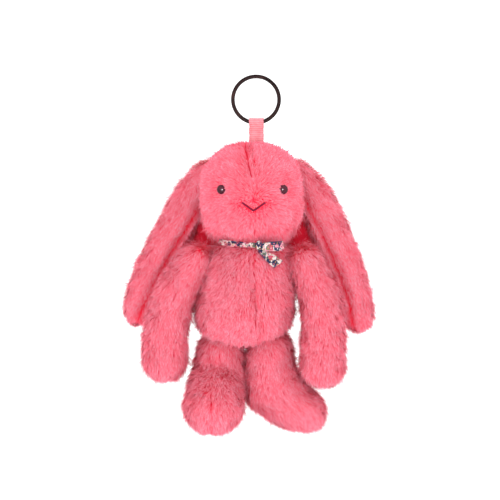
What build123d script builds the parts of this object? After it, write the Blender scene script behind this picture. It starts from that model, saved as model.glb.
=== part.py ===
from build123d import *
import math
import os

# Plush rabbit keychain: split ring, ribbon tab, stuffed rabbit with a printed neck bow.
# Millimetres, +Z up, the rabbit faces -Y, +X is the viewer's right, origin at the ring centre.

os.makedirs("parts", exist_ok=True)

# ---- driving dimensions ----
ring_outer = 25.0
wire_width = 1.9
turn_thick = 0.95
turn_gap = 0.05
jog_half_angle = 16.0
jog_at = 60.0

tab_width = 7.3
tab_x = 0.2
ribbon_thick = 0.45
loop_inner = 1.7
loop_z = -11.3
tab_pivot_z = -20.0
tab_root_depth = 4.6

wall = 3.0

head_x = -2.2
head_top = -21.6
head_bottom = -69.3
head_half_wide = 24.0
head_half_deep = 21.0
snout_forward = 2.0
head_power = 2.5
face_seam_x = -1.0

eye_radius = 2.6
eye_z = -45.0
eye_reach = 15.7
shank_radius = 0.8
washer_radius = 4.0
washer_thick = 1.0
thread_radius = 0.35

body_top = -70.7
body_bottom = -121.0
belly_x = -6.6

shoulder_y = -6.0
ear_y = 10.0
ear_depth = 5.6
lining_y = 15.0
lining_depth = 2.2

neck_z = -71.0
band_half_wide = 17.0
band_half_deep = 14.2
band_thick = 0.9
band_height = 3.6
band_tilt = 8.0

hip_z = -126.0
hip_y = 2.0
hip_left_x = -17.6
hip_right_x = 6.8
hip_gap = 0.6


# ---- shape helpers ----
def dome(share, power=2.25):
    """Share of the full width at a share of the height, for a rounded cushion."""
    return (1 - abs(2 * share - 1) ** power) ** (1 / power)


def cushion(low, high, half_x, half_y, middle, inset=0.0, powers=(2.25, 2.25)):
    """Closed stuffed shape standing on Z.

    half_x, half_y and middle take the height share (0 low, 1 high); middle gives (x, y).
    powers are how square the outline is at the bottom and at the top.
    """
    base = low + inset
    tall = high - low - 2 * inset
    with BuildPart() as shape:
        for share in (0.012, 0.06, 0.17, 0.33, 0.5, 0.67, 0.83, 0.94, 0.988):
            z = base + tall * share
            true_share = (z - low) / (high - low)
            x, y = middle(true_share)
            power = powers[0] + (powers[1] - powers[0]) * true_share
            with BuildSketch(Plane.XY.offset(z)):
                with Locations((x, y)):
                    Ellipse(
                        (half_x(true_share) - inset) * dome(share, power),
                        (half_y(true_share) - inset) * dome(share, power),
                    )
        loft()
    return shape.part


def through(share, start, middle, end):
    """Smooth value through three given values at shares 0, 0.5 and 1."""
    a = 2 * (start - 2 * middle + end)
    b = 4 * middle - 3 * start - end
    return a * share * share + b * share + start


def tube(route, wide, deep, inset=0.0):
    """Closed stuffed tube round a bent centre line that lies in one X-Z plane.

    wide and deep are (start, middle, end) half sizes across the line and along Y.
    """
    with BuildLine() as centre:
        Spline(*route)
    spine = centre.edges()[0]
    length = spine.length
    shares = [inset / length]
    shares += [0.012, 0.05, 0.12, 0.25, 0.42, 0.6, 0.76, 0.88, 0.95, 0.988]
    with BuildPart() as shape:
        for share in shares[1:]:
            along = shares[0] + (1 - 2 * shares[0]) * share
            half_wide = through(along, *wide) - inset
            half_deep = through(along, *deep) - inset
            nearest = min(share, 1 - share) * length * (1 - 2 * shares[0])
            if nearest < half_wide:
                rounding = math.sqrt(1 - (1 - nearest / half_wide) ** 2)
            else:
                rounding = 1.0
            way = spine.tangent_at(along)
            across = Vector(-way.Z, 0, way.X)
            with BuildSketch(Plane(spine.position_at(along), x_dir=across, z_dir=way)):
                Ellipse(half_wide * rounding, half_deep * rounding)
        loft()
    return shape.part


def save(builder, name):
    builder.part.label = name
    export_step(builder.part, "parts/" + name + ".step")


# ---- split ring: two flat turns of wire and the sloping jog between them ----
wire_mid = ring_outer / 2 - wire_width / 2
layer = (turn_thick + turn_gap) / 2


def wire_section(angle, y):
    """Plane square to the wire at an angle round the ring, y picks the turn."""
    a = math.radians(angle)
    out = Vector(math.cos(a), 0, math.sin(a))
    along = Vector(-math.sin(a), 0, math.cos(a))
    return Plane(out * wire_mid + Vector(0, y, 0), x_dir=out, z_dir=along)


with BuildPart() as split_ring:
    for side in (-1, 1):
        with BuildSketch(wire_section(jog_at + jog_half_angle, side * layer)):
            RectangleRounded(wire_width, turn_thick, 0.25)
        turned = 360 - 2 * jog_half_angle
        revolve(axis=Axis((0, 0, 0), (0, -1, 0)), revolution_arc=turned)
    for step in (-1, -0.5, 0, 0.5, 1):
        slope = -layer * math.sin(step * math.pi / 2)
        with BuildSketch(wire_section(jog_at + step * jog_half_angle, slope)):
            RectangleRounded(wire_width, turn_thick, 0.25)
    loft()
save(split_ring, "split_ring")

# ---- ribbon tab: one strip folded over the wire, both ends meeting at the head ----
tab_plane = Plane.YZ.offset(tab_x)
meet_z = loop_z - 4.0
with BuildPart() as ribbon_tab:
    with BuildSketch(tab_plane):
        with Locations((0, loop_z)):
            Circle(loop_inner + ribbon_thick)
        with Locations((0, meet_z - 0.6)):
            Circle(ribbon_thick)
        make_hull()
    extrude(amount=tab_width / 2, both=True)
    with BuildSketch(tab_plane):
        with Locations((0, (meet_z - 0.6 + tab_pivot_z) / 2)):
            Rectangle(2 * ribbon_thick, meet_z - 0.6 - tab_pivot_z)
        with Locations((0, tab_pivot_z)):
            Circle(ribbon_thick)
    extrude(amount=tab_width / 2, both=True)
    with BuildSketch(tab_plane):
        with Locations((0, loop_z)):
            Circle(loop_inner)
        with Locations((0, meet_z)):
            Circle(0.06)
        make_hull()
    extrude(amount=tab_width / 2, both=True, mode=Mode.SUBTRACT)
save(ribbon_tab, "ribbon_tab")

root_top = tab_pivot_z - ribbon_thick - 0.2
with BuildPart() as tab_root:
    with Locations((tab_x, 0, root_top - tab_root_depth / 2)):
        Box(tab_width, 2 * ribbon_thick, tab_root_depth)
save(tab_root, "tab_root")


# ---- head ----
def head_half_x(share):
    return through(share, head_half_wide + 1.4, head_half_wide, head_half_wide - 1.6)


def head_half_y(share):
    return head_half_deep


def head_middle(share):
    return head_x, -snout_forward * math.sin(math.pi * min(1, 1.15 * (1 - share)))


def head_shape(inset):
    sizes = (head_half_x, head_half_y, head_middle)
    return cushion(head_bottom, head_top, *sizes, inset, (head_power, head_power))


def face_y(x, z):
    """Y of the front of the head at a point of the face."""
    share = (z - head_bottom) / (head_top - head_bottom)
    middle_x, middle_y = head_middle(share)
    half_x = head_half_x(share) * dome(share, head_power)
    half_y = head_half_y(share) * dome(share, head_power)
    return middle_y - half_y * math.sqrt(max(0.02, 1 - ((x - middle_x) / half_x) ** 2))


def eye_plane(side):
    """Plane on the face at an eye, its Z pointing out of the head."""
    x = head_x + side * eye_reach
    slope = (face_y(x + side * 0.5, eye_z) - face_y(x - side * 0.5, eye_z)) / 1.0
    out = Vector(side * slope, -1, 0).normalized()
    return Plane((x, face_y(x, eye_z), eye_z), x_dir=(0, 0, 1), z_dir=out)


def eye(side):
    with BuildPart(eye_plane(side)) as bead:
        Sphere(eye_radius)
        with Locations((0, 0, -3.4)):
            Cylinder(shank_radius, 6.8)
    return bead.part


def eye_washer(side):
    with BuildPart(eye_plane(side)) as washer:
        with Locations((0, 0, -wall - washer_thick / 2 - 0.8)):
            Cylinder(washer_radius, washer_thick)
    return washer.part


def stitch(start, end):
    """One straight thread lying on the face between two (x, z) points."""
    ends = [Vector(x, face_y(x, z) - 0.15, z) for x, z in (start, end)]
    way = ends[1] - ends[0]
    with BuildPart() as thread:
        with BuildSketch(Plane(ends[0], z_dir=way)):
            Circle(thread_radius)
        extrude(amount=way.length)
        for end_point in ends:
            with Locations(end_point):
                Sphere(thread_radius)
    return thread.part


nose_low = (-1.2, -56.0)
nose_left = (-6.9, -52.0)
nose_right = (4.4, -52.0)
with BuildPart() as nose_stitch:
    add(stitch(nose_left, nose_low))
    add(stitch(nose_low, nose_right))
save(nose_stitch, "nose_stitch")

for side, name in ((-1, "left"), (1, "right")):
    with BuildPart() as eye_bead:
        add(eye(side))
    save(eye_bead, "eye_" + name)
    with BuildPart() as washer_disc:
        add(eye_washer(side))
        add(eye(side), mode=Mode.SUBTRACT)
    save(washer_disc, "eye_washer_" + name)

head_fill = head_shape(wall)
with BuildPart() as head_shell:
    add(head_shape(0))
    add(head_fill, mode=Mode.SUBTRACT)
    add(tab_root.part, mode=Mode.SUBTRACT)

front_plane = Plane.XZ
seam_plane = Plane.YZ.offset(face_seam_x)
for keep, side, name in ((Keep.BOTTOM, -1, "left"), (Keep.TOP, 1, "right")):
    with BuildPart() as head_front:
        add(head_shell.part)
        split(bisect_by=front_plane, keep=Keep.TOP)
        split(bisect_by=seam_plane, keep=keep)
        add(eye(side), mode=Mode.SUBTRACT)
        add(nose_stitch.part, mode=Mode.SUBTRACT)
    save(head_front, "head_front_" + name)

with BuildPart() as head_back:
    add(head_shell.part)
    split(bisect_by=front_plane, keep=Keep.BOTTOM)
save(head_back, "head_back")

with BuildPart() as head_stuffing:
    add(head_fill)
    add(tab_root.part, mode=Mode.SUBTRACT)
    for side in (-1, 1):
        add(eye(side), mode=Mode.SUBTRACT)
        add(eye_washer(side), mode=Mode.SUBTRACT)
save(head_stuffing, "head_stuffing")

# ---- ears: long-pile outer layer over a thin smooth inner layer ----
ear_routes = {
    "left": [(-25.5, -33), (-33, -49), (-40.4, -64), (-48, -79), (-54.8, -94), (-60, -111)],
    "right": [(21, -33), (29, -48), (36.6, -64), (43.2, -80), (48.8, -97), (52, -114.5)],
}
lining_shift = (0, 6.0, 11.5, 12.0, 7.5)
lining_sign = {"left": 1, "right": -1}
for name, route in ear_routes.items():
    outer_route = [(x, ear_y, z) for x, z in route]
    lining_route = []
    for (x, z), shift in zip(route[:-1], lining_shift):
        lining_route.append((x + lining_sign[name] * shift, lining_y, z - 1.5))
    with BuildPart() as ear_lining:
        add(tube(lining_route, (5.0, 7.8, 4.5), (1.6, lining_depth, 1.6)))
    save(ear_lining, "ear_" + name + "_lining")
    with BuildPart() as ear_outer:
        add(tube(outer_route, (5.0, 8.6, 7.2), (4.4, ear_depth, 5.2)))
        add(ear_lining.part, mode=Mode.SUBTRACT)
    save(ear_outer, "ear_" + name + "_outer")

# ---- neck ribbon and bow ----
lean = math.radians(band_tilt)
band_up = Vector(0, -math.sin(lean), math.cos(lean))
with BuildPart() as neck_ribbon:
    with BuildSketch(Plane((head_x, 0, neck_z), x_dir=(1, 0, 0), z_dir=band_up)):
        Ellipse(band_half_wide, band_half_deep)
        Ellipse(band_half_wide - band_thick, band_half_deep - band_thick, mode=Mode.SUBTRACT)
    extrude(amount=band_height / 2, both=True)
save(neck_ribbon, "neck_ribbon")

knot_x = 1.5
knot_z = -72.9
knot_y = -16.0
with BuildPart() as bow_knot:
    with Locations((knot_x, knot_y, knot_z)):
        Box(2.6, 3.4, 4.6)
    fillet(bow_knot.edges(), radius=0.9)
    add(neck_ribbon.part, mode=Mode.SUBTRACT)
save(bow_knot, "bow_knot")

loop_length = 11.5
loop_height = 4.6
loop_y = -17.4
with BuildPart() as bow_loop:
    start = Plane((knot_x + 1.5, loop_y, knot_z - 0.4), x_dir=(1, 0, -0.09), z_dir=(0.09, 0, 1))
    with BuildSketch(start):
        with Locations((0.7, 0)):
            Circle(0.55)
        with Locations((loop_length - 1.3, -0.2)):
            Circle(1.3)
        make_hull()
    extrude(amount=loop_height / 2, both=True)
    with BuildSketch(start):
        with Locations((1.1, 0)):
            Circle(0.12)
        with Locations((loop_length - 1.3, -0.2)):
            Circle(0.85)
        make_hull()
    extrude(amount=loop_height / 2, both=True, mode=Mode.SUBTRACT)
save(bow_loop, "bow_loop")

tail_length = 11.0
tail_width = 4.8
tail_y = -16.1
with BuildPart() as bow_tail:
    down = Vector(0.77, 0, -0.64)
    tail_start = Vector(knot_x + 0.5, tail_y, knot_z - 2.9)
    with BuildSketch(Plane(tail_start, x_dir=down, z_dir=(0, -1, 0))):
        with Locations((tail_length / 2, 0)):
            Rectangle(tail_length, tail_width)
        with Locations((0, 0)):
            Rectangle(1.6, tail_width, mode=Mode.SUBTRACT)
    extrude(amount=0.3, both=True)
save(bow_tail, "bow_tail")


# ---- body ----
def body_half_x(share):
    return through(share, 24.5, 22.4, 22.0)


def body_half_y(share):
    return through(share, 17.0, 17.4, 14.0)


def body_middle(share):
    return belly_x + (head_x - belly_x) * share ** 1.4, -1.0 * (1 - share)


def body_shape(inset):
    sizes = (body_half_x, body_half_y, body_middle)
    return cushion(body_bottom, body_top, *sizes, inset, (2.6, 3.1))


def hip_sockets():
    """Hollows in the underside of the body that the round leg tops turn in."""
    with BuildPart() as hollow:
        for x in (hip_left_x, hip_right_x):
            with Locations((x, hip_y, hip_z)):
                Sphere(leg_radius + hip_gap)
    return hollow.part


leg_radius = 10.2
ankle_radius = 12.4
body_fill = body_shape(wall)
sockets = hip_sockets()
with BuildPart() as body_shell:
    add(body_shape(0))
    add(body_fill, mode=Mode.SUBTRACT)
    add(sockets, mode=Mode.SUBTRACT)

for keep, name in ((Keep.BOTTOM, "left"), (Keep.TOP, "right")):
    with BuildPart() as body_front:
        add(body_shell.part)
        split(bisect_by=front_plane, keep=Keep.TOP)
        split(bisect_by=seam_plane, keep=keep)
    save(body_front, "body_front_" + name)

with BuildPart() as body_back:
    add(body_shell.part)
    split(bisect_by=front_plane, keep=Keep.BOTTOM)
save(body_back, "body_back")

with BuildPart() as body_stuffing:
    add(body_fill)
    add(sockets, mode=Mode.SUBTRACT)
save(body_stuffing, "body_stuffing")

# ---- arms ----
arm_routes = {
    "left": [(-27, -76), (-33, -85.5), (-39.2, -96), (-43.5, -108), (-45.4, -121), (-44.9, -138.6)],
    "right": [(22.5, -76), (26.5, -85.5), (30.7, -97), (33, -109), (33.3, -122), (33.2, -141.6)],
}
arm_wide = (5.2, 9.4, 10.2)
arm_deep = (5.2, 9.0, 9.6)
arm_plane = Plane.XZ.offset(-shoulder_y)
for name, route in arm_routes.items():
    arm_route = [(x, shoulder_y, z) for x, z in route]
    arm_fill = tube(arm_route, arm_wide, arm_deep, wall)
    with BuildPart() as arm_shell:
        add(tube(arm_route, arm_wide, arm_deep))
        add(arm_fill, mode=Mode.SUBTRACT)
    for keep, face in ((Keep.TOP, "front"), (Keep.BOTTOM, "back")):
        with BuildPart() as arm_panel:
            add(arm_shell.part)
            split(bisect_by=arm_plane, keep=keep)
        save(arm_panel, "arm_" + name + "_" + face)
    with BuildPart() as arm_stuffing:
        add(arm_fill)
    save(arm_stuffing, "arm_" + name + "_stuffing")


# ---- legs: a round-topped shank and a foot, sewn from two side panels ----
def leg_shape(ankle, foot_pitch, foot_half_wide, foot_half_thick, inset):
    """Leg with the hip centre at the origin, hanging down, toe towards -Y."""
    foot_length = 40.0

    def foot_wide(share):
        return through(share, 11.8, foot_half_wide - 0.6, foot_half_wide)

    def foot_thick(share):
        return through(share, 10.4, foot_half_thick, foot_half_thick)

    def foot_middle(share):
        return 0.0, 0.0

    with BuildPart() as leg:
        Sphere(leg_radius - inset)
        with Locations((0, 0, -ankle / 2)):
            Cone(ankle_radius - inset, leg_radius - inset, ankle)
        foot = cushion(-10.4, foot_length - 10.4, foot_wide, foot_thick, foot_middle, inset)
        add(foot.moved(Location((0, 0, -ankle), (90 + foot_pitch, 0, 0))))
    return leg.part


leg_places = {
    "left": Location((hip_left_x, hip_y, hip_z), (0, 6, -3)),
    "right": Location((hip_right_x, hip_y, hip_z), (0, 0, 88)),
}
# ankle drop, foot pitch, half the foot's width and half its thickness
leg_sizes = {"left": (21.2, 22.0, 14.0, 12.6), "right": (20.6, 28.0, 13.4, 10.8)}
leg_faces = {"left": ("inner", "outer"), "right": ("back", "front")}
for name, place in leg_places.items():
    leg_fill = leg_shape(*leg_sizes[name], wall)
    with BuildPart() as leg_shell:
        add(leg_shape(*leg_sizes[name], 0))
        add(leg_fill, mode=Mode.SUBTRACT)
    for keep, face in zip((Keep.TOP, Keep.BOTTOM), leg_faces[name]):
        with BuildPart() as leg_panel:
            add(leg_shell.part)
            split(bisect_by=Plane.YZ, keep=keep)
        leg_panel.part.location = place
        save(leg_panel, "leg_" + name + "_" + face)
    with BuildPart() as leg_stuffing:
        add(leg_fill)
    leg_stuffing.part.location = place
    save(leg_stuffing, "leg_" + name + "_stuffing")
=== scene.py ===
import math

import bmesh
import bpy
import numpy as np
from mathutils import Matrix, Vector


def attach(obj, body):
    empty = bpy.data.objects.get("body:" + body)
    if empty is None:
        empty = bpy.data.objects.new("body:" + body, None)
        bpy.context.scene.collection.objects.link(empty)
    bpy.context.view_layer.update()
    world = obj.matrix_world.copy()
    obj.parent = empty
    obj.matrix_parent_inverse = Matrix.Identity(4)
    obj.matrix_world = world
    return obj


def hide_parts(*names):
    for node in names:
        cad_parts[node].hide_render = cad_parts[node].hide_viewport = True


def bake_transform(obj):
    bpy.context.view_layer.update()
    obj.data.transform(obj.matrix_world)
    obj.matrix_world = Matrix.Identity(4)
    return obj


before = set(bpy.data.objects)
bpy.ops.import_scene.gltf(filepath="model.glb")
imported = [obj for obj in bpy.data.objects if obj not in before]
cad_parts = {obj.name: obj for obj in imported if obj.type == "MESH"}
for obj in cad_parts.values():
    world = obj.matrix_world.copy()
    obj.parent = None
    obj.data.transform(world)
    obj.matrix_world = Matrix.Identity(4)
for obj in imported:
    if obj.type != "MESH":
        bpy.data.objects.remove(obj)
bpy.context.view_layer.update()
scene = bpy.context.scene

# Plush rabbit keychain. Shapes are worked out in millimetres and made in metres.
MM = 0.001

# ---- sizes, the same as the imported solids' ----
HEAD_X = -2.2
HEAD_TOP, HEAD_BOTTOM = -21.6, -69.3
BODY_TOP, BODY_BOTTOM = -70.7, -121.0
BELLY_X = -6.6
SEAM_X = -1.0
SHOULDER_Y = -6.0
EAR_Y = 10.0
LINING_Y = 15.0
EYE_Z, EYE_REACH, EYE_R = -45.4, 15.5, 2.4
RING_MID, WIRE, TURN, LAYER = 11.55, 1.9, 0.95, 0.5
TAB_X, TAB_W, TAB_T = 0.2, 7.3, 0.45
LOOP_R, LOOP_Z, RIB_PITCH = 1.7, -11.3, 1.0
HIP_Y, HIP_Z = 2.0, -126.0
HIP_X = {"left": -17.6, "right": 6.8}
SIDES = ("left", "right")


# ---- small maths ----
RIGHT, FRONT, UP = np.array([1.0, 0, 0]), np.array([0, -1.0, 0]), np.array([0, 0, 1.0])


def unit(v):
    return v / np.maximum(np.linalg.norm(v, axis=-1, keepdims=True), 1e-9)


def between(d, low, high):
    return np.clip((d - low) / (high - low), 0, 1)


def bell(d, width):
    return np.exp(-(d / width) ** 2)


def through(share, start, middle, end):
    """Smooth curve through three values, at shares 0, 0.5 and 1."""
    a = 2 * (start - 2 * middle + end)
    b = 4 * middle - 3 * start - end
    return a * share * share + b * share + start


def circle(count):
    return [2 * math.pi * k / count for k in range(count)]


def heading(line):
    return unit(np.gradient(line, axis=0))


def run_along(line):
    """Distance along a line at each of its points."""
    return np.concatenate([[0], np.cumsum(np.linalg.norm(np.diff(line, axis=0), axis=1))])


def dome(share, power):
    """Rises from 0 to 1 and falls back to 0; a higher power is squarer."""
    return (1 - abs(2 * share - 1) ** power) ** (1 / power)


def ripple(p, scale, seed):
    """Smooth noise, mostly from -1 to 1, at points p; its features are about scale mm across."""
    terms = 7
    r = np.random.default_rng(seed)
    total = np.zeros(len(p))
    for _ in range(terms):
        wave = unit(r.normal(size=3)) * (2 * math.pi / scale) * r.uniform(0.6, 1.5)
        total += np.sin(p @ wave + r.uniform(0, 6.28))
    return total / math.sqrt(terms)


# ---- mesh makers ----
def new_object(name, data):
    obj = bpy.data.objects.new(name, data)
    scene.collection.objects.link(obj)
    return obj


def smoothed(obj):
    obj.data.polygons.foreach_set("use_smooth", [True] * len(obj.data.polygons))
    obj.data.update()
    return obj


def solid(name, points, faces):
    """Object from points in millimetres."""
    mesh = bpy.data.meshes.new(name)
    mesh.from_pydata((np.asarray(points) * MM).tolist(), [], faces)
    mesh.validate()
    return smoothed(new_object(name, mesh))


def closed_solid(name, points, faces):
    """Solid whose faces all point outwards."""
    obj = solid(name, points, faces)
    bm = bmesh.new()
    bm.from_mesh(obj.data)
    bmesh.ops.recalc_face_normals(bm, faces=bm.faces)
    bm.to_mesh(obj.data)
    bm.free()
    return obj


def triples(items, name, kind=float):
    """Three values for each of a mesh's vertices or triangles."""
    values = np.empty(len(items) * 3, kind)
    items.foreach_get(name, values)
    return values.reshape(-1, 3)


def positions(obj):
    """An object's points in metres."""
    return triples(obj.data.vertices, "co")


def moved_to(obj, points):
    """Puts an object's points at new places in millimetres."""
    obj.data.vertices.foreach_set("co", (points * MM).reshape(-1))
    obj.data.update()
    return obj


def tube_faces(rows, across, capped=True):
    """Quads over a grid of rows of points, each row a ring; caps join the two end points
    that follow the grid."""
    faces = []
    for i in range(rows - 1):
        for j in range(across):
            k = (j + 1) % across
            faces.append((i * across + j, i * across + k, (i + 1) * across + k, (i + 1) * across + j))
    if capped:
        low, high = rows * across, rows * across + 1
        last = (rows - 1) * across
        for j in range(across):
            k = (j + 1) % across
            faces.append((low, k, j))
            faces.append((high, last + j, last + k))
    return faces


def row_share(i, rows):
    """Place of row i from 0 to 1, with the rows closer together at both ends."""
    return 0.5 - 0.5 * math.cos(math.pi * (i + 0.6) / (rows + 0.2))


def cushion(low, high, half_x, half_y, middle, power, rows, across, top_power=None):
    """Grid of a stuffed shape standing on Z; power is how square its outline is."""
    top_power = top_power or power
    points = []
    for i in range(rows):
        share = row_share(i, rows)
        x0, y0 = middle(share)
        square = power + (top_power - power) * share
        rx = half_x(share) * dome(share, square)
        ry = half_y(share) * dome(share, square)
        z = low + (high - low) * share
        points += [(x0 + rx * math.cos(a), y0 + ry * math.sin(a), z) for a in circle(across)]
    points += [(*middle(0.0), low), (*middle(1.0), high)]
    return np.array(points), tube_faces(rows, across)


def smooth_route(route, count=200):
    """Points evenly spaced on a smooth line through a few given points, the way the line
    goes at each of them, and its length."""
    p = np.array(route, float)
    p = np.vstack([2 * p[0] - p[1], p, 2 * p[-1] - p[-2]])
    line = []
    for a, b, c, d in zip(p, p[1:], p[2:], p[3:]):
        line += [0.5 * (2 * b + (c - a) * t + (2 * a - 5 * b + 4 * c - d) * t * t
                        + (3 * b - a - 3 * c + d) * t ** 3)
                 for t in np.linspace(0, 1, 40, endpoint=False)]
    line.append(p[-2])
    line = np.array(line)
    run = run_along(line)
    even = np.linspace(0, run[-1], count)
    line = np.stack([np.interp(even, run, line[:, k]) for k in range(3)], 1)
    return line, heading(line), run[-1]


def tube(route, wide, deep):
    """Grid of a stuffed tube round a bent centre line in one X-Z plane; wide and deep are
    its half widths at the start, middle and end."""
    rows, across = 60, 40
    line, way, length = smooth_route(route)
    points = []
    for i in range(rows):
        share = row_share(i, rows)
        k = share * (len(line) - 1)
        spot, go = (np.array([np.interp(k, range(len(line)), values[:, c]) for c in range(3)])
                    for values in (line, way))
        go = unit(go)
        side = np.array([-go[2], 0, go[0]])
        rx, ry = through(share, *wide), through(share, *deep)
        near = min(share, 1 - share) * length
        round_off = math.sqrt(1 - (1 - near / rx) ** 2) if near < rx else 1.0
        for a in circle(across):
            points.append(spot + side * rx * round_off * math.cos(a)
                          + np.array([0, 1, 0]) * ry * round_off * math.sin(a))
    points += [line[0], line[-1]]
    return np.array(points), tube_faces(rows, across)


# ---- materials ----
def configured(n, settings):
    """Node with its own settings, or its sockets of those names, at the given values."""
    for key, value in settings.items():
        if hasattr(n, key):
            setattr(n, key, value)
        else:
            n.inputs[key.replace("_", " ")].default_value = value
    return n


def node(tree, kind, **settings):
    return configured(tree.nodes.new(kind), settings)


def shader(name, roughness, **settings):
    """New material, its node tree and its Principled shader."""
    mat = bpy.data.materials.new(name)
    mat.use_nodes = True
    main = mat.node_tree.nodes["Principled BSDF"]
    return mat, mat.node_tree, configured(main, {"Roughness": roughness, **settings})


def texture(tree, kind, **settings):
    """Texture node laid out in the object's own coordinates."""
    n = node(tree, kind, **settings)
    place = tree.nodes.new("ShaderNodeTexCoord")
    tree.links.new(place.outputs["Object"], n.inputs["Vector"])
    return n


def ramp(tree, source, stops, interpolation="LINEAR"):
    n = tree.nodes.new("ShaderNodeValToRGB")
    n.color_ramp.interpolation = interpolation
    while len(n.color_ramp.elements) < len(stops):
        n.color_ramp.elements.new(0.5)
    for element, (place, colour) in zip(n.color_ramp.elements, stops):
        element.position = place
        element.color = (*colour, 1)
    tree.links.new(source, n.inputs["Fac"])
    return n.outputs["Color"]


def feed(tree, socket, value):
    """Sets a socket to a number or a colour, or links it to another socket."""
    if isinstance(value, bpy.types.NodeSocket):
        tree.links.new(value, socket)
    else:
        socket.default_value = (*value, 1) if isinstance(value, tuple) else value


def maths(tree, operation, *values):
    n = node(tree, "ShaderNodeMath", operation=operation)
    for socket, value in zip(n.inputs, values):
        feed(tree, socket, value)
    return n.outputs[0]


def mixed(tree, factor, a, b, blend="MIX"):
    n = node(tree, "ShaderNodeMix", data_type="RGBA", blend_type=blend)
    for socket, value in zip((n.inputs[0], n.inputs[6], n.inputs[7]), (factor, a, b)):
        feed(tree, socket, value)
    return n.outputs[2]


def parts(tree, source):
    """A vector's or colour's three parts."""
    n = tree.nodes.new("ShaderNodeSeparateXYZ")
    tree.links.new(source, n.inputs[0])
    return n.outputs


def bump(tree, main, height, strength, distance):
    n = node(tree, "ShaderNodeBump", Strength=strength, Distance=distance)
    tree.links.new(height, n.inputs["Height"])
    tree.links.new(n.outputs["Normal"], main.inputs["Normal"])


def speckled(name, roughness, scale, detail, stops, **settings):
    """Material whose colour drifts through a ramp's stops with a noise."""
    mat, tree, main = shader(name, roughness, **settings)
    cloud = texture(tree, "ShaderNodeTexNoise", Scale=scale, Detail=detail).outputs["Fac"]
    tree.links.new(ramp(tree, cloud, stops), main.inputs["Base Color"])
    return mat, tree, main, cloud


def drift_roughness(tree, main, cloud, low, high):
    stops = [(place, (value,) * 3) for place, value in (low, high)]
    tree.links.new(ramp(tree, cloud, stops), main.inputs["Roughness"])


def fur_material(name, root, middle, tip, rough=0.62):
    """Colour runs from root to tip along V; U holds each hair's own tone, which differs at random and is
    lowered as painted shade in sewn creases and over some whole piles.
    """
    mat, tree, main = shader(name, rough, Sheen_Weight=0.15, Sheen_Roughness=0.35,
                             Sheen_Tint=(1.0, 0.30, 0.38, 1), Specular_IOR_Level=0.0)
    uv = node(tree, "ShaderNodeUVMap", uv_map="OFBake")
    across, up, _ = parts(tree, uv.outputs[0])
    along = ramp(tree, up, [(0.0, root), (0.45, middle), (1.0, tip)])
    shade = ramp(tree, across, [(0.0, (0.98, 0.16, 0.24)), (0.2, (1.0, 0.70, 0.74)),
                                (0.55, (1.0, 0.92, 0.93)), (1.0, (1.0, 1.0, 1.0))])
    tree.links.new(mixed(tree, 1.0, along, shade, "MULTIPLY"), main.inputs["Base Color"])
    tree.links.new(maths(tree, "MULTIPLY_ADD", up, -0.12, rough), main.inputs["Roughness"])
    return mat


# the fur's roots are a deep, saturated crimson: partly the pile's own colour, partly painted shade for
# the saturated shade deep between the hairs
FUR = fur_material("fur_pile", (0.97, 0.024, 0.058), (0.93, 0.155, 0.235), (0.86, 0.425, 0.515))
LINING_FUR = fur_material("ear_lining_pile", (0.86, 0.010, 0.035), (0.88, 0.022, 0.060),
                          (0.86, 0.038, 0.085), 0.7)


def backing_material():
    """Knitted backing cloth under the pile."""
    mat, tree, main, _ = speckled(
        "pile_backing", 0.9, 260.0, 4.0, [(0.3, (0.90, 0.016, 0.045)), (0.7, (0.96, 0.030, 0.070))],
        Specular_IOR_Level=0.0)
    knit = texture(tree, "ShaderNodeTexWave", wave_type="BANDS", Scale=900.0, Distortion=1.5)
    bump(tree, main, knit.outputs["Fac"], 0.5, 0.0002)
    return mat


BACKING = backing_material()


# ---- pile: one blade per hair, grown as mesh over a skin ----
DENSITY = 8.2  # hairs per square mm on most parts
GUARD_SHARE, GUARD_LIFT, GUARD_LENGTH = 0.13, 0.16, 1.22  # longer hairs that stand up more
SHADES = 32


def surface(obj):
    """A skin's points in millimetres, its triangles, and its points' normals."""
    mesh = obj.data
    mesh.calc_loop_triangles()
    triangles = triples(mesh.loop_triangles, "vertices", int)
    return positions(obj) / MM, triangles, triples(mesh.vertices, "normal")


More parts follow.
